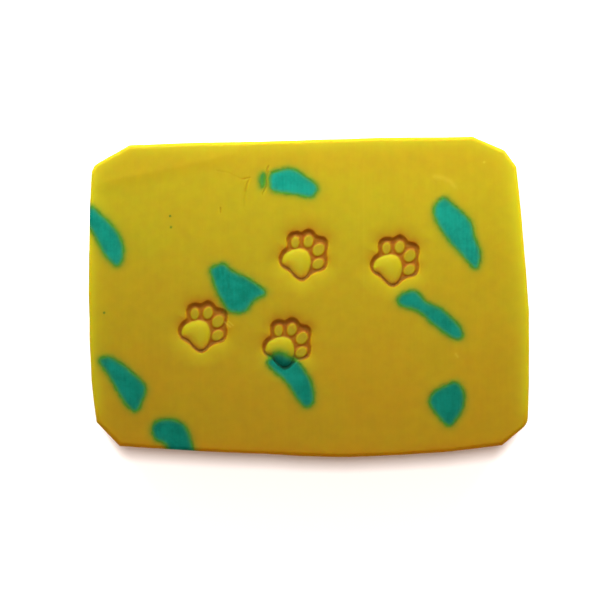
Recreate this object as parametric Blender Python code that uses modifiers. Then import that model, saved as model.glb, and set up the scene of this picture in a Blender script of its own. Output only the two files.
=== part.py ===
"""Hand-cut bar of handmade soap: a yellow body with teal soap chips cast into it
and cut flush with its faces, cut-off corners, and four paw prints stamped in the top.

The bar lies on its back face: +X along the length, +Y across, +Z up through the
thickness, origin in the middle of the underside. Lengths are in millimetres here
and are turned to metres where the meshes are made.
"""
from math import cos, pi, radians, sin
import random

import bmesh
import bpy
from mathutils import Matrix, Vector

MM = 0.001

# Bar
THICKNESS = 25.0
EDGE_ROUND = 1.6
EDGE_STEPS = 3
ARC_STEP = 9.0  # longest straight piece in a bowed side

# Corners anticlockwise, each with how far the side that follows it bows outwards
BAR_CORNERS = (
    ((-38.6, -30.5), 0.35),  # lower long side, in two stretches
    ((8.0, -32.75), 0.55),
    ((39.4, -30.3), 0.1),  # lower right corner cut
    ((44.7, -26.1), 0.1),  # right short side, in two stretches
    ((44.9, -3.0), 0.15),
    ((42.4, 26.5), 0.4),  # upper right corner, cut in two strokes
    ((39.9, 29.8), 0.1),
    ((33.4, 32.75), 0.15),  # upper long side
    ((-36.6, 30.9), 0.2),  # upper left corner cut
    ((-44.4, 26.6), 0.3),  # left short side, in two stretches
    ((-44.9, -8.0), 0.25),
    ((-43.3, -25.6), 0.35),  # lower left corner cut
)

# Teal chips: the pocket each lies in is this much larger all round
POCKET_GAP = 0.3
PROUD = 2.0  # how far a raw chunk stands out of the face before it is cut flush
CHIP_WAIST = 0.55  # share of the depth where a chunk starts to draw in
CHIP_WAIST_SCALE = 0.92
CHIP_TIP_SCALE = 0.5

# Chips in the stamped face: outline, depth, and how far the buried end leans in X and Y
FRONT_CHIPS = {
    "chip_front_left_edge": (
        ((-47.5, 18.8), (-44.0, 18.1), (-41.6, 16.0), (-39.5, 13.8), (-38.0, 11.0), (-37.8, 8.0),
         (-38.9, 6.3), (-40.3, 6.9), (-42.2, 9.4), (-44.6, 13.9), (-47.5, 15.8)),
        6.5, (1.0, -0.6)),
    "chip_front_top": (
        ((-8.1, 23.0), (-7.5, 25.2), (-3.8, 26.1), (-0.9, 24.6), (1.7, 22.4), (1.3, 20.9),
         (0.1, 20.2), (-3.0, 20.8), (-7.0, 21.4)),
        5.0, (-0.6, 0.8)),
    "chip_front_sliver": (
        ((-9.7, 22.4), (-10.0, 23.9), (-9.5, 25.0), (-9.0, 24.6), (-9.1, 22.9)),
        1.6, (-0.1, 0.0)),
    "chip_front_centre": (
        ((-19.9, 5.7), (-17.6, 6.7), (-15.6, 5.3), (-12.2, 3.6), (-8.9, 0.9), (-11.2, -0.9),
         (-13.0, -3.1), (-16.2, -3.0), (-18.3, 0.1), (-19.6, 3.2)),
        6.0, (0.9, 0.4)),
    "chip_front_upper_right": (
        ((27.3, 20.1), (29.3, 18.9), (32.8, 15.5), (33.8, 12.1), (35.0, 8.6), (34.0, 5.7),
         (31.1, 8.4), (28.0, 12.1), (25.7, 16.0), (25.6, 18.4)),
        6.5, (0.5, 0.9)),
    "chip_front_right": (
        ((18.0, -0.6), (19.6, 0.9), (21.9, 1.0), (24.2, -1.2), (27.0, -2.5), (30.8, -6.1),
         (31.1, -8.4), (28.9, -8.3), (25.2, -5.6), (22.3, -3.1), (19.2, -2.1)),
        4.5, (-0.8, -0.5)),
    "chip_front_lower_right": (
        ((29.8, -17.4), (31.3, -18.8), (31.7, -21.6), (30.4, -24.6), (28.6, -26.3),
         (26.3, -24.4), (24.5, -21.5), (25.6, -19.3), (28.0, -18.1)),
        5.5, (0.4, -0.7)),
    "chip_front_under_paw": (
        ((-8.5, -13.4), (-7.0, -15.3), (-4.6, -17.5), (-2.5, -20.7), (-0.6, -22.5), (1.0, -21.3),
         (0.6, -17.8), (-1.7, -13.8), (-3.4, -12.5), (-6.4, -11.3)),
        5.0, (-0.5, 0.6)),
    "chip_front_lower_left": (
        ((-42.7, -13.2), (-41.3, -12.2), (-38.8, -13.2), (-35.4, -15.9), (-33.3, -18.4),
         (-33.9, -21.4), (-35.4, -23.4), (-37.6, -21.6), (-40.5, -16.7)),
        6.0, (0.7, 0.3)),
    "chip_front_lower_edge": (
        ((-32.0, -27.2), (-31.2, -25.4), (-28.6, -24.9), (-25.9, -25.8), (-24.3, -28.3),
         (-23.5, -31.5), (-23.6, -35.0), (-28.6, -35.0), (-28.9, -30.6), (-31.2, -29.1)),
        5.5, (0.5, 0.5)),
}

# Chips in the underside: centre X and Y, length, width, turn in degrees, depth
BACK_CHIPS = {
    "chip_back_upper_left": (-33.0, 17.0, 13.0, 6.5, 40.0, 5.5),
    "chip_back_top": (-13.0, 24.0, 10.0, 5.0, -15.0, 5.0),
    "chip_back_centre": (7.0, 13.0, 12.0, 7.0, 65.0, 6.0),
    "chip_back_upper_right": (26.0, 22.5, 11.0, 6.0, -50.0, 5.0),
    "chip_back_right_edge": (42.5, 1.0, 12.0, 6.0, 80.0, 6.5),
    "chip_back_right": (15.0, -9.0, 13.0, 6.0, 20.0, 5.5),
    "chip_back_left": (-16.0, -5.0, 9.0, 6.0, -35.0, 4.5),
    "chip_back_lower_left": (-32.0, -17.0, 12.0, 7.0, -70.0, 6.0),
    "chip_back_lower": (-2.0, -24.0, 11.0, 6.0, 10.0, 5.5),
    "chip_back_lower_right": (30.0, -23.0, 10.0, 7.0, 50.0, 6.0),
}

# Chips in the cut sides: middle X, Y and Z, heading of the side in degrees from +X, length,
# width, turn in degrees, depth
SIDE_CHIPS = {
    "chip_upper_side_left": (-25.0, 31.2, 13.5, 90.0, 10.0, 5.5, 25.0, 5.0),
    "chip_upper_side_middle": (3.0, 32.0, 9.5, 90.0, 8.0, 5.0, -40.0, 5.5),
    "chip_upper_side_right": (22.0, 32.4, 14.5, 90.0, 11.0, 5.0, 10.0, 4.5),
    "chip_lower_side_middle": (1.0, -32.6, 14.0, -90.0, 10.5, 6.0, -20.0, 5.5),
    "chip_lower_side_right": (21.0, -32.1, 12.0, -90.0, 8.0, 5.5, 55.0, 5.0),
    "chip_right_side_upper": (43.5, 16.0, 14.0, 0.0, 10.0, 6.0, 15.0, 5.5),
    "chip_right_side_lower": (44.9, -17.0, 12.5, 0.0, 9.0, 5.0, -50.0, 5.0),
    "chip_left_side": (-44.9, -5.0, 10.5, 180.0, 11.0, 6.0, -30.0, 5.5),
}
SHARD_POINTS = 9
SHARD_ROUGHNESS = 0.16
BACK_LEAN = (0.6, -0.4)
SIDE_LEAN = (0.5, 0.0)

# Paw print: one stamp pressed four times
STAMP_DEPTH = 0.9
PAW_CENTRES = ((-1.2, 8.6), (17.4, 7.4), (-21.7, -6.0), (-4.6, -9.4))
PAW_EDGE = (
    (-5.0, -0.9), (-4.3, 0.6), (-3.3, 1.5), (-3.3, 3.3), (-2.5, 4.4), (-1.2, 4.7), (-0.3, 4.5),
    (1.0, 5.15), (2.1, 4.7), (2.9, 3.8), (4.4, 3.4), (5.15, 2.2), (4.85, 0.2), (5.05, -1.4),
    (4.45, -2.9), (2.5, -3.6), (1.6, -4.1), (0.5, -5.1), (-0.6, -5.3), (-1.8, -4.5),
    (-2.9, -3.4), (-4.4, -2.4),
)
PAW_PAD = (
    (-4.2, -1.3), (-3.6, 0.0), (-2.0, 0.9), (-0.6, 1.1), (0.8, 0.5), (1.5, -1.2), (1.2, -3.1),
    (0.4, -4.4), (-0.6, -4.7), (-1.7, -3.9), (-2.8, -2.7), (-3.9, -2.1),
)
# Toes: centre X and Y, half width, half length, turn clockwise in degrees
PAW_TOES = (
    (-1.58, 2.45, 0.8, 1.12, 5.0),
    (1.1, 2.65, 0.92, 1.17, 15.0),
    (3.17, 0.92, 1.05, 1.3, 40.0),
    (3.05, -1.95, 0.92, 1.2, 55.0),
)
TOE_SIDES = 12
SMOOTH_STEPS = 2  # straight pieces between two points of a smooth outline

WELD_DISTANCE = 0.0001 * MM
FLAT_ANGLE = radians(0.1)
RIM_ANGLE = radians(50)  # edges sharper than this are rounded

YELLOW_SOAP = ("yellow_soap", (0.50, 0.33, 0.015, 1.0), 0.42)
TEAL_SOAP = ("teal_soap", (0.010, 0.27, 0.19, 1.0), 0.45)


def clear_scene():
    for obj in list(bpy.data.objects):
        bpy.data.objects.remove(obj, do_unlink=True)


def new_collection(name):
    collection = bpy.data.collections.new(name)
    bpy.context.scene.collection.children.link(collection)
    return collection


def soap_material(name, colour, roughness):
    material = bpy.data.materials.new(name)
    material.use_nodes = True
    shader = material.node_tree.nodes["Principled BSDF"]
    shader.inputs["Base Color"].default_value = colour
    shader.inputs["Roughness"].default_value = roughness
    shader.inputs["Metallic"].default_value = 0.0
    return material


def add_object(name, mesh, collection):
    obj = bpy.data.objects.new(name, mesh)
    collection.objects.link(obj)
    return obj


def mark_as_cutter(obj):
    obj.hide_render = True
    obj.display_type = "WIRE"


def baked_mesh(obj, name):
    """The object's evaluated mesh as a mesh of its own."""
    bpy.context.view_layer.update()
    graph = bpy.context.evaluated_depsgraph_get()
    mesh = bpy.data.meshes.new_from_object(obj.evaluated_get(graph))
    mesh.name = name
    return mesh


def bar_outline():
    """The cut outline of the bar, each side a shallow arc between two corners."""
    points = []
    corners = [(Vector(corner), bow) for corner, bow in BAR_CORNERS]
    for index, (start, bow) in enumerate(corners):
        end = corners[(index + 1) % len(corners)][0]
        along = end - start
        outwards = Vector((along.y, -along.x)).normalized()
        steps = max(1, round(along.length / ARC_STEP))
        for step in range(steps):
            t = step / steps
            points.append(start + along * t + outwards * (4.0 * bow * t * (1.0 - t)))
    return points


def prism_mesh(name, points, low, high, smooth):
    """A flat outline made solid between two heights, as a welded mesh."""
    curve = bpy.data.curves.new(name, "CURVE")
    curve.dimensions = "2D"
    curve.fill_mode = "BOTH"
    curve.extrude = (high - low) / 2 * MM
    curve.resolution_u = SMOOTH_STEPS
    spline = curve.splines.new("BEZIER" if smooth else "POLY")
    spline.use_cyclic_u = True
    if smooth:
        spline.bezier_points.add(len(points) - 1)
        for knot, (x, y) in zip(spline.bezier_points, points):
            knot.co = (x * MM, y * MM, 0.0)
            knot.handle_left_type = "AUTO"
            knot.handle_right_type = "AUTO"
    else:
        spline.points.add(len(points) - 1)
        for knot, (x, y) in zip(spline.points, points):
            knot.co = (x * MM, y * MM, 0.0, 1.0)
    outline = add_object(name + "_outline", curve, bpy.context.scene.collection)
    mesh = baked_mesh(outline, name)
    bpy.data.objects.remove(outline, do_unlink=True)

    solid = bmesh.new()
    solid.from_mesh(mesh)
    bmesh.ops.remove_doubles(solid, verts=solid.verts, dist=WELD_DISTANCE)
    bmesh.ops.dissolve_limit(solid, angle_limit=FLAT_ANGLE, verts=solid.verts, edges=solid.edges)
    bmesh.ops.recalc_face_normals(solid, faces=solid.faces)
    bmesh.ops.translate(solid, verts=solid.verts, vec=(0.0, 0.0, (high + low) / 2 * MM))
    solid.to_mesh(mesh)
    solid.free()
    return mesh


def draw_in(solid, face, depth, scale, lean):
    """Extrude a buried end face further down and draw it in about its middle."""
    extruded = bmesh.ops.extrude_face_region(solid, geom=[face])["geom"]
    verts = [item for item in extruded if isinstance(item, bmesh.types.BMVert)]
    end = next(item for item in extruded if isinstance(item, bmesh.types.BMFace))
    middle = end.calc_center_median()
    bmesh.ops.scale(solid, verts=verts, vec=(scale, scale, 1.0), space=Matrix.Translation(-middle))
    bmesh.ops.translate(solid, verts=verts, vec=(lean[0] * MM, lean[1] * MM, -depth * MM))
    bmesh.ops.delete(solid, geom=[face], context="FACES_ONLY")
    return end


def chunk_mesh(name, points, depth, lean):
    """A raw chunk of soap hanging down from its outline at height 0, standing proud of it."""
    waist = depth * CHIP_WAIST
    mesh = prism_mesh(name, points, 0.0, PROUD, smooth=True)
    solid = bmesh.new()
    solid.from_mesh(mesh)
    solid.faces.ensure_lookup_table()
    end = min(solid.faces, key=lambda face: face.calc_center_median().z)
    half_lean = (lean[0] / 2, lean[1] / 2)
    end = draw_in(solid, end, waist, CHIP_WAIST_SCALE, half_lean)
    draw_in(solid, end, depth - waist, CHIP_TIP_SCALE, half_lean)
    bmesh.ops.recalc_face_normals(solid, faces=solid.faces)
    solid.to_mesh(mesh)
    solid.free()
    return mesh


def grown_mesh(mesh, name, distance):
    """The same chunk with every face moved outwards."""
    grown = mesh.copy()
    grown.name = name
    solid = bmesh.new()
    solid.from_mesh(grown)
    solid.normal_update()
    moves = [vert.normal * (vert.calc_shell_factor() * distance * MM) for vert in solid.verts]
    for vert, move in zip(solid.verts, moves):
        vert.co += move
    solid.to_mesh(grown)
    solid.free()
    return grown


def shard_outline(length, width, turn, seed):
    """An irregular rounded splinter about the origin."""
    draw = random.Random(seed)
    slant = radians(turn)
    points = []
    for index in range(SHARD_POINTS):
        angle = 2 * pi * index / SHARD_POINTS
        reach = 1.0 + draw.uniform(-SHARD_ROUGHNESS, SHARD_ROUGHNESS)
        x = length / 2 * reach * cos(angle)
        y = width / 2 * reach * sin(angle)
        points.append((x * cos(slant) - y * sin(slant), x * sin(slant) + y * cos(slant)))
    return points


def boolean(obj, operation, cutter=None, cutters=None):
    """Add an exact Boolean with one cutter or with a collection of them."""
    modifier = obj.modifiers.new(operation.lower(), "BOOLEAN")
    modifier.operation = operation
    modifier.solver = "EXACT"
    if cutters:
        modifier.operand_type = "COLLECTION"
        modifier.collection = cutters
    else:
        modifier.object = cutter


def round_edges(obj):
    bevel = obj.modifiers.new("rounded_edges", "BEVEL")
    bevel.width = EDGE_ROUND * MM
    bevel.segments = EDGE_STEPS
    bevel.limit_method = "ANGLE"
    bevel.angle_limit = RIM_ANGLE


def build_blank(cutters):
    """The bar before anything is cut out of it, which also trims the chips flush."""
    mesh = prism_mesh("bar_blank", bar_outline(), 0.0, THICKNESS, smooth=False)
    blank = add_object("bar_blank", mesh, cutters)
    round_edges(blank)
    mark_as_cutter(blank)
    return blank


def build_chip(name, mesh, place, blank, parts, pockets, teal):
    """One chip, trimmed flush by the blank, and the pocket that it lies in."""
    mesh.transform(place)
    pocket = add_object(name + "_pocket", grown_mesh(mesh, name + "_pocket", POCKET_GAP), pockets)
    mark_as_cutter(pocket)
    chip = add_object(name, mesh, parts)
    chip.data.materials.append(teal)
    boolean(chip, "INTERSECT", cutter=blank)
    return chip


def build_front_chips(blank, parts, pockets, teal):
    place = Matrix.Translation((0.0, 0.0, THICKNESS * MM))
    chips = {}
    for name, (outline, depth, lean) in FRONT_CHIPS.items():
        mesh = chunk_mesh(name, outline, depth, lean)
        chips[name] = build_chip(name, mesh, place, blank, parts, pockets, teal)
    return chips


def build_back_chips(blank, parts, pockets, teal):
    for seed, (name, (x, y, length, width, turn, depth)) in enumerate(BACK_CHIPS.items()):
        mesh = chunk_mesh(name, shard_outline(length, width, turn, seed), depth, BACK_LEAN)
        face_down = Matrix.Rotation(pi, 4, "X")
        place = Matrix.Translation((x * MM, y * MM, 0.0)) @ face_down
        build_chip(name, mesh, place, blank, parts, pockets, teal)


def build_side_chips(blank, parts, pockets, teal):
    first_seed = len(BACK_CHIPS)
    for index, (name, values) in enumerate(SIDE_CHIPS.items()):
        x, y, z, heading, length, width, turn, depth = values
        outline = shard_outline(length, width, turn, first_seed + index)
        mesh = chunk_mesh(name, outline, depth, SIDE_LEAN)
        face_out = Matrix.Rotation(radians(heading), 4, "Z") @ Matrix.Rotation(pi / 2, 4, "Y")
        place = Matrix.Translation((x * MM, y * MM, z * MM)) @ face_out
        build_chip(name, mesh, place, blank, parts, pockets, teal)


def toe_mesh(name, toe, low, high):
    x, y, half_width, half_length, turn = toe
    solid = bmesh.new()
    bmesh.ops.create_cone(solid, cap_ends=True, segments=TOE_SIDES, radius1=1.0, radius2=1.0, depth=1.0)
    bmesh.ops.scale(solid, verts=solid.verts, vec=(half_width * MM, half_length * MM, (high - low) * MM))
    bmesh.ops.rotate(solid, verts=solid.verts, matrix=Matrix.Rotation(-radians(turn), 3, "Z"))
    bmesh.ops.translate(solid, verts=solid.verts, vec=(x * MM, y * MM, (high + low) / 2 * MM))
    mesh = bpy.data.meshes.new(name)
    solid.to_mesh(mesh)
    solid.free()
    return mesh


def build_paw_stamps(stamps):
    """The stamp's relief: its outer shape less the pad and toes, copied to each print."""
    relief = new_collection("paw_relief")
    outer = add_object("paw_outer", prism_mesh("paw_outer", PAW_EDGE, -STAMP_DEPTH, PROUD, smooth=True), relief)
    islands = new_collection("paw_islands")
    low, high = -2 * STAMP_DEPTH, 2 * PROUD
    add_object("paw_pad", prism_mesh("paw_pad", PAW_PAD, low, high, smooth=True), islands)
    for number, toe in enumerate(PAW_TOES, start=1):
        name = "paw_toe_%d" % number
        add_object(name, toe_mesh(name, toe, low, high), islands)
    boolean(outer, "DIFFERENCE", cutters=islands)
    stamp = baked_mesh(outer, "paw_stamp")
    for obj in list(islands.objects) + list(relief.objects):
        bpy.data.objects.remove(obj, do_unlink=True)
    bpy.data.collections.remove(islands)
    bpy.data.collections.remove(relief)

    prints = []
    for number, (x, y) in enumerate(PAW_CENTRES, start=1):
        paw = add_object("paw_stamp_%d" % number, stamp, stamps)
        paw.location = (x * MM, y * MM, THICKNESS * MM)
        mark_as_cutter(paw)
        prints.append(paw)
    return prints


def build_body(parts, pockets, stamps, yellow):
    mesh = prism_mesh("bar_body", bar_outline(), 0.0, THICKNESS, smooth=False)
    mesh.materials.append(yellow)
    body = add_object("bar_body", mesh, parts)
    round_edges(body)
    boolean(body, "DIFFERENCE", cutters=pockets)
    boolean(body, "DIFFERENCE", cutters=stamps)
    return body


def main():
    clear_scene()
    parts = new_collection("stamped_soap_bar")
    cutters = new_collection("cutters")
    pockets = new_collection("chip_pockets")
    stamps = new_collection("paw_stamps")
    yellow = soap_material(*YELLOW_SOAP)
    teal = soap_material(*TEAL_SOAP)

    blank = build_blank(cutters)
    prints = build_paw_stamps(stamps)
    front_chips = build_front_chips(blank, parts, pockets, teal)
    build_back_chips(blank, parts, pockets, teal)
    build_side_chips(blank, parts, pockets, teal)
    boolean(front_chips["chip_front_under_paw"], "DIFFERENCE", cutter=prints[-1])
    build_body(parts, pockets, stamps, yellow)


main()
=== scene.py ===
import random
from math import cos, pi, radians, sin

import bmesh
import bpy
import numpy as np
from mathutils import Matrix, Vector, geometry, noise
from mathutils.bvhtree import BVHTree


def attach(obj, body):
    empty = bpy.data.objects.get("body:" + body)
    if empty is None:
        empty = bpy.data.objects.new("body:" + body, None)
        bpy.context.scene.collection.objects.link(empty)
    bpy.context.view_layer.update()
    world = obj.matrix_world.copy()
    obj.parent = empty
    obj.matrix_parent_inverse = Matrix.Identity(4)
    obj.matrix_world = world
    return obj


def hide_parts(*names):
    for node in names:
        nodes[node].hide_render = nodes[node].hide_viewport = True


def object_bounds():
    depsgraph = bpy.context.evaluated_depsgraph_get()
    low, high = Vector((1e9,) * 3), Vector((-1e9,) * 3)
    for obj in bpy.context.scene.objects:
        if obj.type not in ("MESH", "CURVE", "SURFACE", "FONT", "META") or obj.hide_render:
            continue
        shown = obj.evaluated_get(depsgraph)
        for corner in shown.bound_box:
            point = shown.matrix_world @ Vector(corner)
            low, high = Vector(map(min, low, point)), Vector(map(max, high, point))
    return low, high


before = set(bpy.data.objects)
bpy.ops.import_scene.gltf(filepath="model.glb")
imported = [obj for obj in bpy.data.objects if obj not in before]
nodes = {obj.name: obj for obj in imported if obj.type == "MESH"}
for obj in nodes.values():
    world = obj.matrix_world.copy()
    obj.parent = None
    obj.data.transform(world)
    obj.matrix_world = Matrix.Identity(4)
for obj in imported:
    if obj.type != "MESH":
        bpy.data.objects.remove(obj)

mm = 0.001
cadLow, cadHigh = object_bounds()
length = cadHigh.x - cadLow.x
width = cadHigh.y - cadLow.y
thickness = cadHigh.z - cadLow.z
print("frame loaded: bar %.1f x %.1f x %.1f mm" % (length / mm, width / mm, thickness / mm))

# a loaf-cut bar, edges rubbed round by hand; lengths in millimetres
bar = {
    "cell": 1.0,          # spacing of the surface mesh
    "rimRound": 0.9,      # radius of the rubbed edge
    "rimSteps": 7,
    "sideSteps": 17,
    "waviness": 0.05,     # hand-cut faces are never quite flat
    "waveLength": 14.0,
    "ripple": (2.3, 0.5),     # a finer wave on top: times as many, and its share
    "sideWaviness": 0.16,
    "restHeight": 2.0,    # the sides stay straight near the face that it lies on
    "faceBand": (1.2, 0.2),   # the relief ends between these depths
    "weld": 0.12,         # rim points closer than this share of a cell are one
    "tooShort": 0.05,
    "mitre": 0.75,        # a corner is never drawn out further than this allows
    "seamAngle": 70.0,    # only the seams round the chips stay crisp
}

# a small acrylic stamp, pressed four times; all places are from the middle of the print
paw = {
    "centres": ((-1.2, 8.6), (17.4, 7.4), (-21.7, -6.0), (-4.6, -9.4)),
    "edge": ((-5.0, -0.9), (-4.3, 0.6), (-3.3, 1.5), (-3.3, 3.3), (-2.5, 4.4), (-1.2, 4.7),
             (-0.3, 4.5), (1.0, 5.15), (2.1, 4.7), (2.9, 3.8), (4.4, 3.4), (5.15, 2.2), (4.85, 0.2),
             (5.05, -1.4), (4.45, -2.9), (2.5, -3.6), (1.6, -4.1), (0.5, -5.1), (-0.6, -5.3),
             (-1.8, -4.5), (-2.9, -3.4), (-4.4, -2.4)),
    "pad": ((-4.2, -1.3), (-3.6, 0.0), (-2.0, 0.9), (-0.6, 1.1), (0.8, 0.5), (1.5, -1.2),
            (1.2, -3.1), (0.4, -4.4), (-0.6, -4.7), (-1.7, -3.9), (-2.8, -2.7), (-3.9, -2.1)),
    # middle, half width, half length, turn clockwise in degrees
    "toes": ((-1.58, 2.45, 0.8, 1.12, 5.0), (1.1, 2.65, 0.92, 1.17, 15.0),
             (3.17, 0.92, 1.05, 1.3, 40.0), (3.05, -1.95, 0.92, 1.2, 55.0)),
    "edgeSteps": 4,             # pieces between two points of an outline
    "padSteps": 12,
    "depth": 0.78,
    "outerWall": (-0.1, 0.55),  # where the outer wall starts and ends, from the outline inwards
    "islandWall": (-0.15, 0.4),
    "shoulder": 0.22,           # how far the soap is dragged down round the print
    "shoulderReach": 1.2,
    "padEdge": 0.5,             # the pad's edge lies this far down and its middle stands up again
    "padRise": 0.75,
    "padReach": 1.2,
    "nearest": 0.05,            # keeps the dome finite at the outline itself
    "toeSink": 0.5,
    "outerShade": (-0.2, 0.12),   # the line of painted shade is wider than the floor of the groove
    "islandShade": (-0.12, 0.2),
    "blur": 0.25,                 # the line fades out on the upper side
    "lipShade": 0.12,             # and reaches over the lip on the lower side
    "lipWidth": (0.3, 0.7),
    "crackShade": 2.4,            # share of painted shade in a crack for each millimetre of its depth
    "haloReach": 0.95,
    "litReach": 1.8,
    "warmReach": 0.7,           # light comes through the lower side of the pad
    "warmSide": (-0.1, 0.9),
    "warmEdge": (-0.3, 0.0),
    "haloSide": (-0.3, 0.9),
    "padMark": (-0.5, 0.0),     # where the colours of the pad and the toes begin
    "toeMark": (-0.5, -0.1),
    "padFoot": -0.4,            # beyond this lie the toes
    "markOverlap": 0.1,
    "fadeOut": (1.0, 3.2),      # the dragged soap ends between these
    "nudge": 0.2,               # step for telling the upper side of an outline from the lower
    "reach": 8.2,               # the print disturbs nothing beyond this
}

# fine cracks where the upper chip pulled away, and one nick: points, depth, half width
cracks = (
    (((-18.8, 25.6), (-16.2, 25.1), (-13.5, 23.9)), 0.04, 0.18),
    (((-13.3, 23.9), (-12.1, 24.2), (-12.7, 22.7), (-13.0, 21.4)), 0.13, 0.16),
    (((-13.0, 21.4), (-13.2, 20.0), (-13.2, 18.4)), 0.06, 0.15),
    (((-8.2, 26.6), (-8.6, 25.9), (-8.3, 25.2), (-8.7, 24.0), (-8.6, 22.7), (-9.4, 20.9)), 0.13, 0.15),
    (((-18.1, 18.0), (-18.05, 17.2)), 0.16, 0.16),
)
# a soft roll of soap left by the rubbed edge
ridge = {
    "path": ((-44.0, 22.8), (-39.4, 23.9), (-33.1, 25.1), (-23.8, 27.2), (-15.4, 29.1)),
    "height": 0.13,
    "halfWidth": 1.4,
}
# pale rubs and one faint knife line: points, half width, strength
scuffs = (
    (((25.6, 24.5), (27.4, 24.2), (28.9, 23.4), (29.7, 22.4)), 0.5, 0.22),
    (((35.65, 27.35), (35.75, 27.4)), 0.22, 0.5),
    (((29.9, -11.7), (30.3, -12.3)), 0.25, 0.35),
    (((-17.2, -5.2), (-16.0, -6.2)), 0.15, 0.4),
    (((-16.4, -5.0), (-15.4, -5.9)), 0.12, 0.35),
    (((11.1, 27.8), (11.15, 14.0), (11.2, -0.8)), 0.16, 0.05),
)

# chopped teal soap: outline in the stamped face, depth, lean of the buried end, shade; the shades are
# partly the chips' own tones and partly painted light, lighter towards the lit upper edge
frontChips = {
    "chip_front_left_edge": (
        ((-47.5, 18.8), (-44.0, 18.1), (-41.6, 16.0), (-39.5, 13.8), (-38.0, 11.0), (-37.8, 8.0),
         (-38.9, 6.3), (-40.3, 6.9), (-42.2, 9.4), (-44.6, 13.9), (-47.5, 15.8)),
        6.5, (1.0, -0.6), 0.55),
    "chip_front_top": (
        ((-8.1, 23.0), (-7.5, 25.2), (-3.8, 26.1), (-0.9, 24.6), (1.7, 22.4), (1.3, 20.9),
         (0.1, 20.2), (-3.0, 20.8), (-7.0, 21.4)),
        5.0, (-0.6, 0.8), 0.9),
    "chip_front_sliver": (
        ((-9.7, 22.4), (-10.0, 23.9), (-9.5, 25.0), (-9.0, 24.6), (-9.1, 22.9)),
        1.6, (-0.1, 0.0), 0.3),
    "chip_front_centre": (
        ((-19.9, 5.7), (-17.6, 6.7), (-15.6, 5.3), (-12.2, 3.6), (-8.9, 0.9), (-11.2, -0.9),
         (-13.0, -3.1), (-16.2, -3.0), (-18.3, 0.1), (-19.6, 3.2)),
        6.0, (0.9, 0.4), 0.45),
    "chip_front_upper_right": (
        ((27.3, 20.1), (29.3, 18.9), (32.8, 15.5), (33.8, 12.1), (35.0, 8.6), (34.0, 5.7),
         (31.1, 8.4), (28.0, 12.1), (25.7, 16.0), (25.6, 18.4)),
        6.5, (0.5, 0.9), 0.75),
    "chip_front_right": (
        ((18.0, -0.6), (19.6, 0.9), (21.9, 1.0), (24.2, -1.2), (27.0, -2.5), (30.8, -6.1),
         (31.1, -8.4), (28.9, -8.3), (25.2, -5.6), (22.3, -3.1), (19.2, -2.1)),
        4.5, (-0.8, -0.5), 0.5),
    "chip_front_lower_right": (
        ((29.8, -17.4), (31.3, -18.8), (31.7, -21.6), (30.4, -24.6), (28.6, -26.3),
         (26.3, -24.4), (24.5, -21.5), (25.6, -19.3), (28.0, -18.1)),
        5.5, (0.4, -0.7), 0.3),
    "chip_front_under_paw": (
        ((-8.5, -13.4), (-7.0, -15.3), (-4.6, -17.5), (-2.5, -20.7), (-0.6, -22.5), (1.0, -21.3),
         (0.6, -17.8), (-1.7, -13.8), (-3.4, -12.5), (-6.4, -11.3)),
        5.0, (-0.5, 0.6), 0.45),
    "chip_front_lower_left": (
        ((-42.7, -13.2), (-41.3, -12.2), (-38.8, -13.2), (-35.4, -15.9), (-33.3, -18.4),
         (-33.9, -21.4), (-35.4, -23.4), (-37.6, -21.6), (-40.5, -16.7)),
        6.0, (0.7, 0.3), 0.3),
    "chip_front_lower_edge": (
        ((-32.0, -27.2), (-31.2, -25.4), (-28.6, -24.9), (-25.9, -25.8), (-24.3, -28.3),
         (-23.5, -31.5), (-23.6, -35.0), (-28.6, -35.0), (-28.9, -30.6), (-31.2, -29.1)),
        5.5, (0.5, 0.5), 0.2),
}
# chips in the underside: middle, length, width, turn, depth
backChips = {
    "chip_back_upper_left": (-33.0, 17.0, 13.0, 6.5, 40.0, 5.5),
    "chip_back_top": (-13.0, 24.0, 10.0, 5.0, -15.0, 5.0),
    "chip_back_centre": (7.0, 13.0, 12.0, 7.0, 65.0, 6.0),
    "chip_back_upper_right": (26.0, 22.5, 11.0, 6.0, -50.0, 5.0),
    "chip_back_right_edge": (42.5, 1.0, 12.0, 6.0, 80.0, 6.5),
    "chip_back_right": (15.0, -9.0, 13.0, 6.0, 20.0, 5.5),
    "chip_back_left": (-16.0, -5.0, 9.0, 6.0, -35.0, 4.5),
    "chip_back_lower_left": (-32.0, -17.0, 12.0, 7.0, -70.0, 6.0),
    "chip_back_lower": (-2.0, -24.0, 11.0, 6.0, 10.0, 5.5),
    "chip_back_lower_right": (30.0, -23.0, 10.0, 7.0, 50.0, 6.0),
}
# chips in the cut sides: middle, heading of the face, length, width, turn, depth
sideChips = {
    "chip_upper_side_left": (-25.0, 31.2, 13.5, 90.0, 10.0, 5.5, 25.0, 5.0),
    "chip_upper_side_middle": (3.0, 32.0, 9.5, 90.0, 8.0, 5.0, -40.0, 5.5),
    "chip_upper_side_right": (22.0, 32.4, 14.5, 90.0, 11.0, 5.0, 10.0, 4.5),
    "chip_lower_side_middle": (1.0, -32.6, 14.0, -90.0, 10.5, 6.0, -20.0, 5.5),
    "chip_lower_side_right": (21.0, -32.1, 12.0, -90.0, 8.0, 5.5, 55.0, 5.0),
    "chip_right_side_upper": (43.5, 16.0, 14.0, 0.0, 10.0, 6.0, 15.0, 5.5),
    "chip_right_side_lower": (44.9, -17.0, 12.5, 0.0, 9.0, 5.0, -50.0, 5.0),
    "chip_left_side": (-44.9, -5.0, 10.5, 180.0, 11.0, 6.0, -30.0, 5.5),
}
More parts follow.
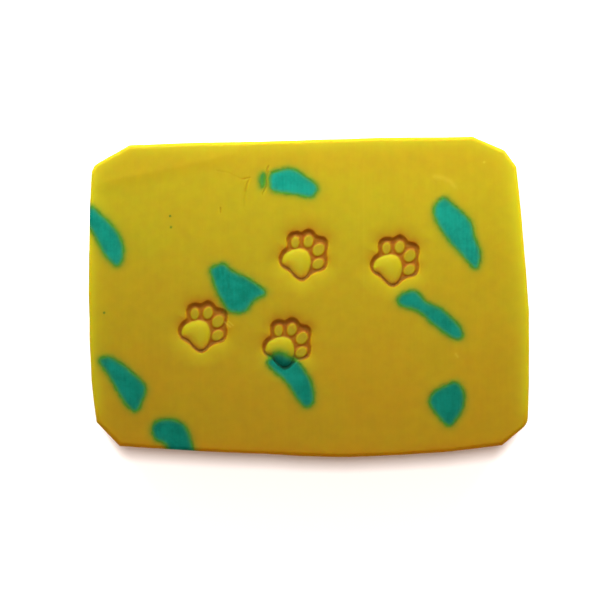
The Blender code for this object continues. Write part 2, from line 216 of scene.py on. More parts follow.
# how far one colour runs into the other, and how far the painted light reaches in from the rim
bleed = {
    "intoYellow": (0.62, 1.4),   # reach, and how suddenly it ends
    "intoTeal": (0.45, 2.0),
    "smeared": 0.2,              # the stamp drags it further
    "thinDepth": 3.0,            # the yellow shows through a chip thinner than this
    "rimReach": 1.3,
    "faceBand": (3.0, 2.0),      # the marks of the face end between these depths
}
chunk = {
    "shardPoints": 9,
    "shardRoughness": 0.16,
    "backLean": (0.6, -0.4),
    "sideLean": (0.5, 0.0),
    "outlineSteps": 6,     # pieces between two points of an outline
    "chipped": 0.12,       # the chopped edge is uneven by this much
    "chippedLength": 1.6,
    "seedStep": 7.0,
    "hiddenSeed": 20,      # no hidden chip is chipped like one in the stamped face
    "shadeSeed": 5,
    "shades": (0.2, 0.8),
    "proud": 2.0,
    # share of the depth and size of each buried ring
    "rings": ((0.2, 1.0), (0.45, 0.97), (0.7, 0.84), (0.9, 0.66), (1.0, 0.5)),
}


def smoothLoop(points, steps):
    # closed Catmull-Rom curve through the points
    loop = []
    count = len(points)
    for i in range(count):
        a, b, c, d = (Vector(points[(i + k) % count]) for k in (-1, 0, 1, 2))
        for step in range(steps):
            t = step / steps
            loop.append(0.5 * (2 * b + (c - a) * t + (2 * a - 5 * b + 4 * c - d) * t ** 2
                               + (3 * b - a - 3 * c + d) * t ** 3))
    return loop


def segmentDistance(points, a, b):
    # distance of each point to a straight piece of a line
    along = b - a
    t = np.clip((points - a) @ along / (along @ along), 0, 1)
    return np.linalg.norm(points - a - t[:, None] * along, axis=1)


def loopDistance(points, loop):
    # distance of each point to a closed outline, positive inside it
    start = np.array([tuple(p) for p in loop])
    end = np.roll(start, -1, axis=0)
    nearest = np.full(len(points), 1e9)
    inside = np.zeros(len(points), bool)
    for a, b in zip(start, end):
        nearest = np.minimum(nearest, segmentDistance(points, a, b))
        spans = (a[1] > points[:, 1]) != (b[1] > points[:, 1])
        if a[1] != b[1]:
            crossing = a[0] + (points[:, 1] - a[1]) * (b[0] - a[0]) / (b[1] - a[1])
            inside ^= spans & (points[:, 0] < crossing)
    return np.where(inside, nearest, -nearest)


def pathDistance(points, path):
    nearest = np.full(len(points), 1e9)
    for a, b in zip(path[:-1], path[1:]):
        nearest = np.minimum(nearest, segmentDistance(points, np.array(a), np.array(b)))
    return nearest


def smoothStep(low, high, value):
    t = np.clip((value - low) / (high - low), 0, 1)
    return t * t * (3 - 2 * t)


def softDepth(points, loop):
    # like the distance to the outline from inside it, but without creases
    pull = np.zeros(len(points))
    for a, b in zip(loop, loop[1:] + loop[:1]):
        away = np.linalg.norm(points - np.array((a + b) / 2), axis=1)
        pull += (b - a).length / np.maximum(away, paw["nearest"]) ** 3
    return np.sqrt(2 / pull)


def facing(points, loop):
    # 1 beside the upper side of an outline, -1 beside the lower side
    nudge = np.array((0.0, paw["nudge"]))
    change = loopDistance(points - nudge, loop) - loopDistance(points + nudge, loop)
    return change / (2 * paw["nudge"])


def pawRelief(points):
    # height of one print in millimetres, and the share of each kind of mark at every point
    edge = smoothLoop(paw["edge"], paw["edgeSteps"])
    outer = loopDistance(points, edge)
    upwards = facing(points, edge)
    upperSide, lowerSide = smoothStep(0.0, 1.0, upwards), smoothStep(0.0, 1.0, -upwards)
    padLoop = smoothLoop(paw["pad"], paw["padSteps"])
    pad = loopDistance(points, padLoop)
    toes = np.full(len(points), -1e9)
    for x, y, halfWidth, halfLength, turn in paw["toes"]:
        c, s = cos(radians(turn)), sin(radians(turn))
        dx, dy = points[:, 0] - x, points[:, 1] - y
        radius = np.hypot((dx * c - dy * s) / halfWidth, (dx * s + dy * c) / halfLength)
        toes = np.maximum(toes, (1 - radius) * halfWidth)
    island = np.maximum(pad, toes)
    groove = smoothStep(*paw["outerWall"], outer) * smoothStep(*paw["islandWall"], -island)
    beyond = np.maximum(-outer, 0)
    around = -paw["shoulder"] * np.exp(-beyond / paw["shoulderReach"])
    around *= 1 - smoothStep(*paw["fadeOut"], beyond)
    depth = np.where(pad > 0, softDepth(points, padLoop), 0)
    # painted light: a warm glow through the lower side of the pad
    warm = np.exp(-np.maximum(pad, 0) / paw["warmReach"])
    warm *= smoothStep(*paw["warmSide"], -facing(points, padLoop)) * smoothStep(*paw["warmEdge"], pad)
    dome = paw["padRise"] * (1 - np.exp(-depth / paw["padReach"])) - paw["padEdge"]
    inside = np.where(pad > paw["padFoot"], dome, -paw["toeSink"])
    surface = np.where(outer > 0, inside, around)
    height = surface + (-paw["depth"] - surface) * groove
    # painted shade in and round the groove, blurred on the upper side and reaching over the lip on the
    # lower side
    start, end = paw["outerShade"]
    paintedGrooveShade = smoothStep(start - paw["blur"] * upperSide, end + paw["blur"] * upperSide / 2,
                       outer + paw["lipShade"] * lowerSide)
    paintedGrooveShade *= smoothStep(*paw["islandShade"], -island)
    lip = paintedGrooveShade * lowerSide * (1 - smoothStep(*paw["lipWidth"], outer))
    # painted shade above the print, where its upper wall cuts off the light (halo), and painted light
    # on the slope below it (lit)
    outside = outer < paw["markOverlap"]
    halo = np.exp(-beyond / paw["haloReach"]) * smoothStep(*paw["haloSide"], upwards) * outside
    lit = np.exp(-beyond / paw["litReach"]) * lowerSide * outside
    return height, {"groove": paintedGrooveShade, "halo": halo, "lit": lit, "lip": lip, "warm": warm,
                    "pad": smoothStep(*paw["padMark"], pad), "toe": smoothStep(*paw["toeMark"], toes)}


markKinds = ("groove", "halo", "lit", "lip", "pad", "toe", "warm")


def stampedFace(points):
    # everything pressed or cut into the upper face, and the share of each kind of mark
    height = np.zeros(len(points))
    marks = {kind: np.zeros(len(points)) for kind in markKinds}
    for centre in paw["centres"]:
        local = points - np.array(centre)
        near = np.hypot(local[:, 0], local[:, 1]) < paw["reach"]
        if near.any():
            relief, shares = pawRelief(local[near])
            height[near] += relief
            for kind, share in shares.items():
                marks[kind][near] = np.maximum(marks[kind][near], share)
    for path, depth, halfWidth in cracks:
        near = np.exp(-(pathDistance(points, path) / halfWidth) ** 2)
        height -= depth * near
        # painted shade in the cracks, darker where they are deeper
        marks["groove"] = np.maximum(marks["groove"], paw["crackShade"] * depth * near)
    away = pathDistance(points, ridge["path"])
    height += ridge["height"] * np.exp(-(away / ridge["halfWidth"]) ** 2)
    return height, marks


# the mesh is halved within each of these distances of a feature, and each kind of
# feature counts from a little outside or inside its own line
refining = {
    "rounds": (2.2, 1.3, 0.6),
    "paw": 5.6,
    "crack": 0.3,
    "scuff": -0.2,
    "chip": -0.6,
    "ridge": -0.3,
    "outlineSteps": 4,
}


def featureDistance(points):
    # how far a point is from anything that needs a fine mesh
    away = np.full(len(points), 1e9)
    for centre in paw["centres"]:
        away = np.minimum(away, np.hypot(*(points - np.array(centre)).T) - refining["paw"])
    for path, depth, halfWidth in cracks:
        away = np.minimum(away, pathDistance(points, path) - refining["crack"])
    for path, halfWidth, strength in scuffs:
        away = np.minimum(away, pathDistance(points, path) - refining["scuff"])
    for outline, depth, lean, shade in frontChips.values():
        toEdge = np.abs(loopDistance(points, smoothLoop(outline, refining["outlineSteps"])))
        away = np.minimum(away, toEdge - refining["chip"])
    return np.minimum(away, pathDistance(points, ridge["path"]) - refining["ridge"])


def barOutline():
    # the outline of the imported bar, resampled to even steps
    flat = [v.co.xy for node in nodes.values() for v in node.data.vertices]
    hull = [flat[i] for i in geometry.convex_hull_2d(flat)]
    if sum(a.cross(b) for a, b in zip(hull, hull[1:] + hull[:1])) < 0:
        hull.reverse()
    step = bar["cell"] * mm
    loop = []
    for a, b in zip(hull, hull[1:] + hull[:1]):
        if (b - a).length < mm / 100:
            continue
        pieces = max(1, round((b - a).length / step))
        loop += [a.lerp(b, i / pieces) for i in range(pieces)]
    return loop


def trimmedSheet(bm, outline, inset):
    # a square grid trimmed to the outline less the rubbed edge
    cell = bar["cell"] * mm
    columns, rows = round(length / cell) + 4, round(width / cell) + 4
    bmesh.ops.create_grid(bm, x_segments=columns, y_segments=rows, size=0.5)
    bmesh.ops.scale(bm, vec=(columns * cell, rows * cell, 1.0), verts=bm.verts)
    for a, b in zip(outline, outline[1:] + outline[:1]):
        along = (b - a).normalized()
        outwards = Vector((along.y, -along.x, 0.0))
        everything = bm.verts[:] + bm.edges[:] + bm.faces[:]
        bmesh.ops.bisect_plane(bm, geom=everything, dist=1e-7, plane_co=a.to_3d() - outwards * inset,
                               plane_no=outwards, clear_outer=True)
    rim = [v for v in bm.verts if v.is_boundary]
    bmesh.ops.remove_doubles(bm, verts=rim, dist=bar["weld"] * cell)
    bmesh.ops.dissolve_degenerate(bm, edges=bm.edges, dist=bar["tooShort"] * cell)


def rimDirections(ring):
    # outward direction at each point of the sheet's edge, lengthened at corners
    directions = {}
    for edge in ring:
        face = edge.link_faces[0]
        a, b = edge.verts
        outwards = Vector((b.co.y - a.co.y, a.co.x - b.co.x, 0.0)).normalized()
        if outwards.dot(edge.verts[0].co - face.calc_center_median()) < 0:
            outwards.negate()
        for v in (a, b):
            directions.setdefault(v, []).append(outwards)
    mitred = {}
    for v, pair in directions.items():
        middle = sum(pair, Vector()).normalized()
        mitred[v] = middle / max(middle.dot(pair[0]), bar["mitre"])
    return mitred


def extrudeRing(bm, ring, base, out, height):
    # carry the open edge on to the next ring of the section
    made = bmesh.ops.extrude_edge_only(bm, edges=ring)["geom"]
    fresh = [g for g in made if isinstance(g, bmesh.types.BMVert)]
    freshSet = set(fresh)
    carried = {}
    for v in fresh:
        old = next(e.other_vert(v) for e in v.link_edges if e.other_vert(v) in base)
        place, direction = base[old]
        carried[v] = (place, direction)
        v.co = place + direction * out
        v.co.z = height
    edges = [g for g in made if isinstance(g, bmesh.types.BMEdge)
             and g.verts[0] in freshSet and g.verts[1] in freshSet]
    return edges, carried


def refineFace(bm):
    # rounds of halving the mesh round the prints, chips and cracks
    skin = thickness - mm / 10
    for reach in refining["rounds"]:
        upwards = [f for f in bm.faces if f.normal.z > 0.99]
        faces = [f for f in upwards if f.calc_center_median().z > skin]
        centres = np.array([f.calc_center_median().xy for f in faces]) / mm
        near = featureDistance(centres) < reach
        edges = dict.fromkeys(e for f, close in zip(faces, near) if close for e in f.edges)
        bmesh.ops.subdivide_edges(bm, edges=list(edges), cuts=1, use_grid_fill=True)
        bm.normal_update()


def makeBlank(outline):
    # the whole bar of yellow soap before the chips are let into it
    bm = bmesh.new()
    rimRound = bar["rimRound"] * mm
    trimmedSheet(bm, outline, rimRound)
    top = bm.faces[:]
    under = bmesh.ops.duplicate(bm, geom=bm.verts[:] + bm.edges[:] + top)["geom"]
    underFaces = [g for g in under if isinstance(g, bmesh.types.BMFace)]
    bmesh.ops.reverse_faces(bm, faces=underFaces)
    topVerts = {v for f in top for v in f.verts}
    bmesh.ops.translate(bm, verts=list(topVerts), vec=(0, 0, thickness))

    ring = [e for e in bm.edges if e.is_boundary and e.verts[0] in topVerts]
    base = {v: (v.co.copy(), way) for v, way in rimDirections(ring).items()}
    section = []
    for i in range(1, bar["rimSteps"] + 1):
        angle = i / bar["rimSteps"] * pi / 2
        section.append((rimRound * sin(angle), thickness - rimRound * (1 - cos(angle))))
    wall = thickness - 2 * rimRound
    for i in range(1, bar["sideSteps"] + 1):
        section.append((rimRound, thickness - rimRound - wall * i / bar["sideSteps"]))
    for i in range(bar["rimSteps"] - 1, -1, -1):
        angle = i / bar["rimSteps"] * pi / 2
        section.append((rimRound * sin(angle), rimRound * (1 - cos(angle))))
    for out, height in section:
        ring, base = extrudeRing(bm, ring, base, out, height)
    openUnder = dict.fromkeys(v for f in underFaces for v in f.verts if v.is_boundary)
    bmesh.ops.remove_doubles(bm, verts=list(base) + list(openUnder), dist=mm / 100)
    bmesh.ops.recalc_face_normals(bm, faces=bm.faces)
    bm.normal_update()
    refineFace(bm)
    sculptBlank(bm)
    return bm


def sculptBlank(bm):
    # hand-cut waviness everywhere, then the stamped face
    verts = bm.verts[:]
    flat = np.array([v.co.xy for v in verts]) / mm
    height = stampedFace(flat)[0]
    bandLow, bandHigh = (thickness - depth * mm for depth in bar["faceBand"])
    finer, share = bar["ripple"]
    for v, lift in zip(verts, height):
        onTop = smoothStep(bandLow, bandHigh, v.co.z)
        place = v.co / (bar["waveLength"] * mm)
        wave = noise.noise(place) + share * noise.noise(place * finer)
        rest = smoothStep(0.0, bar["restHeight"] * mm, v.co.z)
        sideways = Vector((v.normal.x, v.normal.y, 0.0))
        v.co += sideways * (wave * bar["sideWaviness"] * mm * rest)
        v.co.z += (wave * bar["waviness"] + lift) * mm * onTop
    bm.normal_update()


def chunkMesh(bm, outline, depth, lean, place):
    # a raw chunk of teal soap: its outline stands proud of the face and draws in below it
    verts = [bm.verts.new((p.x * mm, p.y * mm, chunk["proud"] * mm)) for p in outline]
    lid = bm.faces.new(verts)
    bmesh.ops.recalc_face_normals(bm, faces=[lid])
    middle = Vector((sum(p.x for p in outline), sum(p.y for p in outline), 0.0)) * mm / len(outline)
    made = set(verts)
    end = lid
    size, level = 1.0, chunk["proud"]
    for share, scale in ((0.0, 1.0),) + chunk["rings"]:
        geom = bmesh.ops.extrude_face_region(bm, geom=[end])["geom"]
        fresh = [g for g in geom if isinstance(g, bmesh.types.BMVert)]
        if end is not lid:
            bmesh.ops.delete(bm, geom=[end], context="FACES_ONLY")
        end = next(g for g in geom if isinstance(g, bmesh.types.BMFace))
        drop = level + share * depth
        bmesh.ops.scale(bm, vec=(scale / size, scale / size, 1.0), verts=fresh,
                        space=Matrix.Translation(-middle))
        bmesh.ops.translate(bm, verts=fresh, vec=(0, 0, -drop * mm))
        size, level = scale, -share * depth
        made.update(fresh)
    for v in made:
        share = max(0.0, -v.co.z / (depth * mm))
        v.co.x += lean[0] * mm * share
        v.co.y += lean[1] * mm * share
    bmesh.ops.transform(bm, matrix=place, verts=list(made))
    return place @ middle


def roughOutline(points, seed):
    # the outline of a chopped piece: smooth overall and slightly chipped
    loop = smoothLoop(points, chunk["outlineSteps"])
    count = len(loop)
    rough = []
    for i, p in enumerate(loop):
        along = loop[(i + 1) % count] - loop[i - 1]
        outwards = Vector((along.y, -along.x)).normalized()
        place = Vector((p.x, p.y, chunk["seedStep"] * seed)) / chunk["chippedLength"]
        rough.append(p + outwards * (noise.noise(place) * chunk["chipped"]))
    return rough


def shardOutline(size, across, turn, seed):
    draw = random.Random(seed)
    slant = radians(turn)
    points = []
    for i in range(chunk["shardPoints"]):
        angle = 2 * pi * i / chunk["shardPoints"]
        reach = 1.0 + draw.uniform(-chunk["shardRoughness"], chunk["shardRoughness"])
        x, y = size / 2 * reach * cos(angle), across / 2 * reach * sin(angle)
        points.append((x * cos(slant) - y * sin(slant), x * sin(slant) + y * cos(slant)))
    return points


def makeChunks(bm):
    # every chunk in one mesh; returns the middle, shade and depth of each
    middles = {}
    draw = random.Random(chunk["shadeSeed"])
    up = Matrix.Translation((0, 0, thickness))
    for seed, (name, (points, depth, lean, shade)) in enumerate(frontChips.items()):
        middle = chunkMesh(bm, roughOutline(points, seed), depth, lean, up)
        middles[name] = (middle, shade, depth)
    for seed, (name, (x, y, size, across, turn, depth)) in enumerate(backChips.items()):
        place = Matrix.Translation((x * mm, y * mm, 0)) @ Matrix.Rotation(pi, 4, "X")
        points = roughOutline(shardOutline(size, across, turn, seed), seed + chunk["hiddenSeed"])
        middle = chunkMesh(bm, points, depth, chunk["backLean"], place)
        middles[name] = (middle, draw.uniform(*chunk["shades"]), depth)
    for index, (name, values) in enumerate(sideChips.items()):
        x, y, z, heading, size, across, turn, depth = values
        faceOut = Matrix.Rotation(radians(heading), 4, "Z") @ Matrix.Rotation(pi / 2, 4, "Y")
        place = Matrix.Translation((x * mm, y * mm, z * mm)) @ faceOut
        seed = len(backChips) + index
        points = roughOutline(shardOutline(size, across, turn, seed), seed + chunk["hiddenSeed"])
        middle = chunkMesh(bm, points, depth, chunk["sideLean"], place)
        middles[name] = (middle, draw.uniform(*chunk["shades"]), depth)
    bmesh.ops.recalc_face_normals(bm, faces=bm.faces)
    return middles


def addObject(name, data):
    obj = bpy.data.objects.new(name, data)
    bpy.context.scene.collection.objects.link(obj)
    return obj


def meshObject(name, bm):
    mesh = bpy.data.meshes.new(name)
    bm.to_mesh(mesh)
    return addObject(name, mesh)


def cutMesh(obj, operation, cutter):
    cut = obj.modifiers.new("cut", "BOOLEAN")
    cut.operation = operation
    cut.solver = "EXACT"
    cut.object = cutter
    bpy.context.view_layer.update()
    graph = bpy.context.evaluated_depsgraph_get()
    mesh = bpy.data.meshes.new_from_object(obj.evaluated_get(graph))
    obj.modifiers.remove(cut)
    return mesh


def splitIslands(mesh):
    # the separate closed bodies of a mesh, each as a bmesh
    whole = bmesh.new()
    whole.from_mesh(mesh)
    seen = set()
    islands = []
    for start in whole.faces:
        if start in seen:
            continue
        seen.add(start)
        island, waiting = [start], [start]
        while waiting:
            for edge in waiting.pop().edges:
                for face in edge.link_faces:
                    if face not in seen:
                        seen.add(face)
                        island.append(face)
                        waiting.append(face)
        islands.append({f.index for f in island})
    parts = []
    for keep in islands:
        part = whole.copy()
        part.faces.ensure_lookup_table()
        unwanted = [f for f in part.faces if f.index not in keep]
        bmesh.ops.delete(part, geom=unwanted, context="FACES")
        parts.append(part)
    whole.free()
    return parts


def storeValue(mesh, name, values):
    layer = mesh.attributes.new(name, "FLOAT", "POINT")
    layer.data.foreach_set("value", np.array(values, np.float32))


def markSurface(mesh, reach, fade):
    # what the soap materials need to know at each vertex, worked out in millimetres
    places = np.array([tuple(v.co) for v in mesh.vertices]) / mm
    bandLow, bandHigh = (thickness / mm - depth for depth in bleed["faceBand"])
    onFace = smoothStep(bandLow, bandHigh, places[:, 2])
    marks = stampedFace(places[:, :2])[1]
    toSeam = np.array([chunkTree.find_nearest(v.co)[3] for v in mesh.vertices]) / mm
    reach = reach + bleed["smeared"] * marks["pad"] * onFace
    storeValue(mesh, "bleed", np.exp(-(toSeam / reach) ** fade))
    for kind, share in marks.items():
        storeValue(mesh, kind, share * onFace)
    toRim = loopDistance(places[:, :2], [p / mm for p in outline])
    toEdge = np.hypot(np.maximum(toRim, 0), thickness / mm - places[:, 2])
    storeValue(mesh, "rim", np.exp(-toEdge / bleed["rimReach"]))
    scuffed = np.zeros(len(places))
    for path, halfWidth, strength in scuffs:
        away = pathDistance(places[:, :2], path)
        scuffed = np.maximum(scuffed, strength * np.exp(-(away / halfWidth) ** 2))
    storeValue(mesh, "scuff", scuffed * onFace)


def finishPiece(obj, node, material):
    obj.data.materials.clear()
    obj.data.materials.append(material)
    obj.data.shade_smooth()
    obj.data.set_sharp_from_angle(angle=radians(bar["seamAngle"]))
    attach(obj, "root")
    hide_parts(node)


print("shaping the blank")
outline = barOutline()
blankMesh = makeBlank(outline)
blank = meshObject("blank", blankMesh)
blankMesh.free()
print("  blank: %d faces" % len(blank.data.polygons))

print("chopping the teal soap")
chunkBm = bmesh.new()
middles = makeChunks(chunkBm)
chunkTree = BVHTree.FromBMesh(chunkBm)
chunks = meshObject("chunks", chunkBm)
chunkBm.free()

print("letting the chips into the bar")
bodyMesh = cutMesh(blank, "DIFFERENCE", chunks)
chipMesh = cutMesh(chunks, "INTERSECT", blank)
print("  body %d faces, chips %d faces" % (len(bodyMesh.polygons), len(chipMesh.polygons)))


def soapColour(code):
    # sRGB hex to linear
    channels = [int(code[i:i + 2], 16) / 255 for i in (1, 3, 5)]
    return [c / 12.92 if c <= 0.04045 else ((c + 0.055) / 1.055) ** 2.4 for c in channels] + [1.0]


def newMaterial(name):
    material = bpy.data.materials.new(name)
    material.use_nodes = True
    return material


def addNode(tree, kind, settings):
    # a setting may be a value, a colour or another node's output
    node = tree.nodes.new("ShaderNode" + kind)
    for key, value in settings.items():
        if isinstance(value, bpy.types.NodeSocket):
            tree.links.new(value, node.inputs[key])
        elif isinstance(key, int) or key in node.inputs:
            node.inputs[key].default_value = value
        else:
            setattr(node, key, value)
    return node


def mixColour(tree, share, first, second):
    return addNode(tree, "Mix", {"data_type": "RGBA", 0: share, 6: first, 7: second}).outputs[2]


def ramp(tree, value, low, high, toLow=0.0, toHigh=1.0):
    # eases a value from one range to another
    return addNode(tree, "MapRange", {
        "interpolation_type": "SMOOTHSTEP", "Value": value, "From Min": low, "From Max": high,
        "To Min": toLow, "To Max": toHigh}).outputs["Result"]


def vary(tree, pattern, low, high):
    # a noise pattern hardly ever leaves 0.3 to 0.7
    return ramp(tree, pattern, 0.3, 0.7, low, high)


def combine(tree, operation, first, second):
    return addNode(tree, "Math", {"operation": operation, 0: first, 1: second}).outputs[0]


def stored(tree, name):
    return addNode(tree, "Attribute", {"attribute_name": name}).outputs["Fac"]


def millimetres(tree, stretch=(1.0, 1.0, 1.0)):
    # object coordinates in millimetres, stretched for streaks
    place = addNode(tree, "TexCoord", {}).outputs["Object"]
    scale = [1000.0 * s for s in stretch]
    return addNode(tree, "Mapping", {"Vector": place, "Scale": scale}).outputs["Vector"]


def soapNoise(tree, stretch, scale, detail, roughness=0.5):
    return addNode(tree, "TexNoise", {
        "Vector": millimetres(tree, stretch), "Scale": scale, "Detail": detail,
        "Roughness": roughness}).outputs["Fac"]


# what both soaps have in common; sizes of patterns are in patterns per millimetre
evenly = (1.0, 1.0, 1.0)
bothSoaps = {
    "skinSize": 2.2,
    "skinShare": 0.4,
    "bumpHeight": 0.03,
    "runSize": 0.8,
    "runEnds": (0.35, 0.65, 0.8, 1.05),
}


def runColour(tree, colour, bled):
    # one colour of soap run unevenly into the other beside a seam
    uneven = ramp(tree, soapNoise(tree, evenly, bothSoaps["runSize"], 3.0), *bothSoaps["runEnds"])
    run = combine(tree, "MULTIPLY", stored(tree, "bleed"), uneven)
    return mixColour(tree, run, colour, soapColour(bled))


def finishSoap(tree, soap, colour, streaks, drags=None):
    # faint cutter streaks and a slightly greasy skin over light that scatters inside
    shader = tree.nodes["Principled BSDF"]
    tree.links.new(colour, shader.inputs["Base Color"])
    skin = soapNoise(tree, evenly, bothSoaps["skinSize"], 6.0, 0.6)
    tree.links.new(vary(tree, skin, *soap["roughness"]), shader.inputs["Roughness"])
    relief = combine(tree, "ADD", streaks, combine(tree, "MULTIPLY", skin, bothSoaps["skinShare"]))
    if drags is not None:
        relief = combine(tree, "ADD", relief, drags)
    bump = addNode(tree, "Bump", {
        "Height": relief, "Strength": soap["bumpStrength"], "Distance": bothSoaps["bumpHeight"] * mm})
    tree.links.new(bump.outputs["Normal"], shader.inputs["Normal"])
    shader.inputs["IOR"].default_value = soap["ior"]
    shader.inputs["Specular IOR Level"].default_value = soap["specular"]
    shader.inputs["Subsurface Weight"].default_value = 1.0
    shader.inputs["Subsurface Radius"].default_value = soap["radius"]
    shader.inputs["Subsurface Scale"].default_value = soap["glow"]


# cast soap with the light well inside it; painted light makes it pale at the thin rubbed edges and
# painted shade browner deep in the prints
yellow = {
    "lemon": "#706505",       # painted light: towards the lit upper edge of the face
    "ochre": "#765D05",
    "lowerEnd": -34.0,
    "upperEnd": 24.0,
    "ends": (-44.0, 44.0),
    "paintedEndLight": (-0.035, 0.065),
    "crown": "#716005",
    "crownSpan": (22.0, 28.0),
    "rimUpper": "#77780C",
    "rimLeft": "#80800C",
    "rimRight": "#8A8A0E",
    "rimLower": "#7E5604",
    "rimSplit": (-31.0, -20.0, 22.0, 32.0),
    "markShares": (("lit", 0.8), ("pad", 0.9), ("warm", 0.9), ("toe", 0.9), ("halo", 0.85),
                   ("groove", 1.0), ("lip", 0.9)),
    "lit": "#7C7608",
    "pad": "#756F0A",
    "warm": "#8C6216",
    "toe": "#6B6008",
    "halo": "#704508",        # light cut off by the upper wall of a print
    # painted shade, darker, where the groove's line reaches over the lower lip
    "lip": "#563305",
    "groove": "#6D4005",      # painted shade at the bottom of the prints
    "bled": "#2A5612",
    "scuffed": "#8F8226",
    "fleck": "#2A480A",
    "flecks": ((-28.3, 16.4, 0.25), (-28.1, 14.1, 0.36), (-41.7, -3.3, 0.25)),
    "fleckEdge": (0.4, 1.3),
    "fleckWobble": (-0.12, 0.12),
    "fleckShare": 0.85,
    "cloudSize": 0.07,
    "cloudDrift": (-0.18, 0.18),
    "mottleSize": 0.45,
    "mottleTone": (0.965, 1.035),
    "streakSize": 1.6,
    "streakStretch": (1.0, 0.035, 0.5),
    "streakTone": (-0.015, 0.015),
    "wallSlope": (0.4, 0.9),
    "dragSize": 0.9,
    "dragStretch": (0.07, 0.07, 1.0),
    "dragTone": (-0.12, 0.08),
    "dragDepth": 6.0,
    "bumpStrength": 0.35,
    "roughness": (0.42, 0.6),
    "ior": 1.46,
    "specular": 0.03,
    "glow": 0.0035,
    "radius": (1.0, 0.35, 0.08),
}


def yellowSoapMaterial():
    material = newMaterial("castGlycerinSoapYellow")
    tree = material.node_tree

    # painted light: lemon towards the lit upper edge of the face, ochre towards the lower; clouds and
    # small mottling
    place = addNode(tree, "SeparateXYZ", {0: millimetres(tree)})
    clouds = soapNoise(tree, evenly, yellow["cloudSize"], 3.0)
    paintedLightAndClouds = ramp(tree, place.outputs["Y"], yellow["lowerEnd"], yellow["upperEnd"])
    paintedLightAndClouds = combine(tree, "ADD", paintedLightAndClouds, vary(tree, clouds, *yellow["cloudDrift"]))
    colour = mixColour(tree, paintedLightAndClouds, soapColour(yellow["ochre"]), soapColour(yellow["lemon"]))
    mottle = soapNoise(tree, evenly, yellow["mottleSize"], 5.0, 0.6)
    streaks = soapNoise(tree, yellow["streakStretch"], yellow["streakSize"], 4.0, 0.65)
    tone = combine(tree, "ADD", vary(tree, mottle, *yellow["mottleTone"]),
                   vary(tree, streaks, *yellow["streakTone"]))

    crown = ramp(tree, place.outputs["Y"], *yellow["crownSpan"])
    colour = mixColour(tree, crown, colour, soapColour(yellow["crown"]))

    # painted light: the bar is a little paler towards one end, the +X end, where more light falls
    paintedEndLight = ramp(tree, place.outputs["X"], *yellow["ends"], *yellow["paintedEndLight"])
    tone = combine(tree, "ADD", tone, paintedEndLight)

    # the sides keep the drag marks of the knife
    normal = addNode(tree, "SeparateXYZ", {0: addNode(tree, "NewGeometry", {}).outputs["Normal"]})
    upright = combine(tree, "ABSOLUTE", normal.outputs["Z"], 0.0)
    wall = ramp(tree, upright, *yellow["wallSlope"], 1.0, 0.0)
    drags = soapNoise(tree, yellow["dragStretch"], yellow["dragSize"], 5.0, 0.65)
    dragTone = combine(tree, "MULTIPLY", wall, vary(tree, drags, *yellow["dragTone"]))
    tone = combine(tree, "ADD", tone, dragTone)
    colour = addNode(tree, "HueSaturation", {"Color": colour, "Value": tone}).outputs["Color"]

    # painted light caught in the rubbed edge: paler on the upper, left and right edges, palest on the
    # right, orange-brown on the lower edge, away from the light
    lowest, lower, upper, highest = yellow["rimSplit"]
    paintedRimLight = mixColour(tree, ramp(tree, place.outputs["X"], *yellow["ends"]),
                          soapColour(yellow["rimLeft"]), soapColour(yellow["rimRight"]))
    paintedRimLight = mixColour(tree, ramp(tree, place.outputs["Y"], lowest, lower),
                          soapColour(yellow["rimLower"]), paintedRimLight)
    paintedRimLight = mixColour(tree, ramp(tree, place.outputs["Y"], upper, highest), paintedRimLight,
                          soapColour(yellow["rimUpper"]))
    colour = mixColour(tree, stored(tree, "rim"), colour, paintedRimLight)

    # the prints: painted light on the dragged-down soap below each print (lit) and through the lower
    # side of the pad (warm), the colours of pad and toes, painted shade above each print (halo) and in
    # and round its groove (groove, lip)
    for mark, share in yellow["markShares"]:
        amount = combine(tree, "MULTIPLY", stored(tree, mark), share)
        colour = mixColour(tree, amount, colour, soapColour(yellow[mark]))

    # teal run into the yellow, rubs and stray flecks of teal
    colour = runColour(tree, colour, yellow["bled"])
    colour = mixColour(tree, stored(tree, "scuff"), colour, soapColour(yellow["scuffed"]))
    start, end = yellow["fleckEdge"]
    for x, y, radius in yellow["flecks"]:
        away = addNode(tree, "VectorMath", {
            "operation": "DISTANCE", 0: millimetres(tree), 1: (x, y, thickness / mm)})
        wobble = combine(tree, "ADD", away.outputs["Value"], vary(tree, mottle, *yellow["fleckWobble"]))
        amount = ramp(tree, wobble, radius * start, radius * end, yellow["fleckShare"], 0.0)
        colour = mixColour(tree, amount, colour, soapColour(yellow["fleck"]))
    dragged = combine(tree, "MULTIPLY", combine(tree, "MULTIPLY", wall, drags), yellow["dragDepth"])
    finishSoap(tree, yellow, colour, streaks, dragged)
    return material


# opaque teal soap, chopped before the yellow was poured round it
teal = {
    "dark": "#004A3C",
    "light": "#085E50",
    "bled": "#2E5C0C",
    "pressed": "#04261A",
    "padShare": 0.4,
    "mottleSize": 0.5,
    "mottleShade": (-0.3, 0.3),
    "streakSize": 1.6,
    "streakStretch": (1.0, 0.05, 0.5),
    "streakTone": (0.93, 1.07),
    "bumpStrength": 0.5,
    "roughness": (0.45, 0.62),
    "ior": 1.46,
    "specular": 0.015,
    "glow": 0.0012,
    "radius": (0.15, 0.6, 0.5),
}


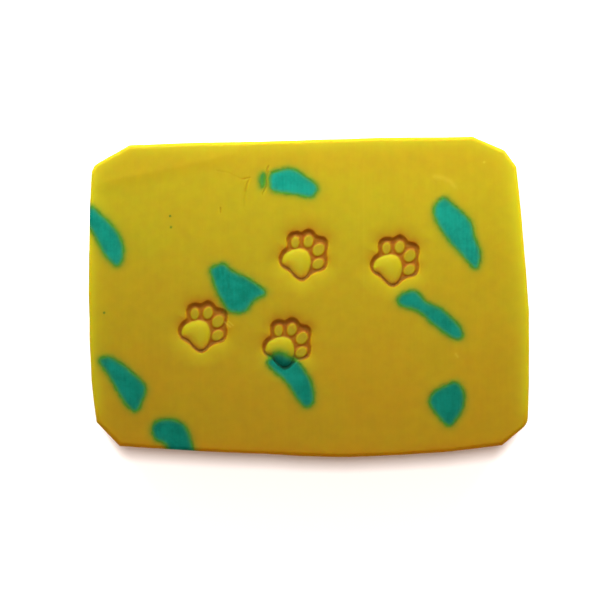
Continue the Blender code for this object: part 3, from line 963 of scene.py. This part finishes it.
def tealSoapMaterial():
    material = newMaterial("castSoapTeal")
    tree = material.node_tree
    mottle = soapNoise(tree, evenly, teal["mottleSize"], 5.0, 0.6)
    streaks = soapNoise(tree, teal["streakStretch"], teal["streakSize"], 4.0, 0.65)
    shade = combine(tree, "ADD", stored(tree, "shade"), vary(tree, mottle, *teal["mottleShade"]))
    colour = mixColour(tree, shade, soapColour(teal["dark"]), soapColour(teal["light"]))
    colour = addNode(tree, "HueSaturation", {
        "Color": colour, "Value": vary(tree, streaks, *teal["streakTone"])}).outputs["Color"]
    # painted shade: the teal is darker in and round the grooves of a print and under its domed pad
    pressed = combine(tree, "MAXIMUM", stored(tree, "groove"),
                      combine(tree, "MULTIPLY", stored(tree, "pad"), teal["padShare"]))
    colour = mixColour(tree, pressed, colour, soapColour(teal["pressed"]))
    colour = runColour(tree, colour, teal["bled"])
    finishSoap(tree, teal, colour, streaks)
    return material


print("mixing the soaps")
yellowSoap = yellowSoapMaterial()
tealSoap = tealSoapMaterial()

body = addObject("yellow_soap_body", bodyMesh)
markSurface(bodyMesh, *bleed["intoYellow"])
finishPiece(body, "bar_body", yellowSoap)

for part in splitIslands(chipMesh):
    centre = sum((v.co for v in part.verts), Vector()) / len(part.verts)
    name = min(middles, key=lambda n: (middles[n][0] - centre).length)
    chip = meshObject("teal_" + name, part)
    part.free()
    middle, shade, depth = middles[name]
    reach, fade = bleed["intoTeal"]
    markSurface(chip.data, reach * max(1.0, bleed["thinDepth"] / depth), fade)
    storeValue(chip.data, "shade", np.full(len(chip.data.vertices), shade))
    finishPiece(chip, name, tealSoap)
for helper in (blank, chunks):
    bpy.data.objects.remove(helper, do_unlink=True)


# white paper under the bar; a low window beyond the upper edge and a small lamp high above
stage = {
    "viewWidth": 122.2,       # what the camera takes in at the stamped face
    "aim": (-1.82, -0.7),
    "cameraHeight": 600.0,
    "sensorWidth": 36.0,
    "floorSize": 1.5,
    "paper": "#FBF6F4",
    "room": (1.0, 0.78, 0.69),
    "roomStrength": 0.6,
    "windowPlace": (0.0, 0.1, 0.085),
    "windowSize": (0.26, 0.04),
    "windowPower": 0.88,
    "lampPlace": (0.0, 0.078, 0.85),
    "lampSize": (0.11, 0.11),
    "lampPower": 5.7,
}
floorMesh = bmesh.new()
bmesh.ops.create_grid(floorMesh, x_segments=1, y_segments=1, size=stage["floorSize"])
floor = meshObject("floor", floorMesh)
floorMesh.free()
paper = newMaterial("whitePaper")
paperShader = paper.node_tree.nodes["Principled BSDF"]
paperShader.inputs["Base Color"].default_value = soapColour(stage["paper"])
paperShader.inputs["Roughness"].default_value = 0.9
floor.data.materials.append(paper)

world = bpy.data.worlds.new("softRoom")
bpy.context.scene.world = world
world.use_nodes = True
background = world.node_tree.nodes["Background"]
background.inputs["Color"].default_value = (*stage["room"], 1)
background.inputs["Strength"].default_value = stage["roomStrength"]


def softBox(name, place, size, power):
    data = bpy.data.lights.new(name, "AREA")
    data.shape = "RECTANGLE"
    data.size, data.size_y = size
    data.energy = power
    lamp = addObject(name, data)
    lamp.location = place
    lamp.rotation_euler = (-Vector(place)).to_track_quat("-Z", "Y").to_euler()


softBox("window", stage["windowPlace"], stage["windowSize"], stage["windowPower"])
softBox("lamp", stage["lampPlace"], stage["lampSize"], stage["lampPower"])

cameraData = bpy.data.cameras.new("camera")
camera = addObject("camera", cameraData)
aimX, aimY = (value * mm for value in stage["aim"])
camera.location = (aimX, aimY, stage["cameraHeight"] * mm)
distance = stage["cameraHeight"] * mm - thickness
cameraData.sensor_width = stage["sensorWidth"]
cameraData.lens = stage["sensorWidth"] * distance / (stage["viewWidth"] * mm)
bpy.context.scene.camera = camera
bpy.context.scene.view_settings.view_transform = "Standard"

print("scene ready")
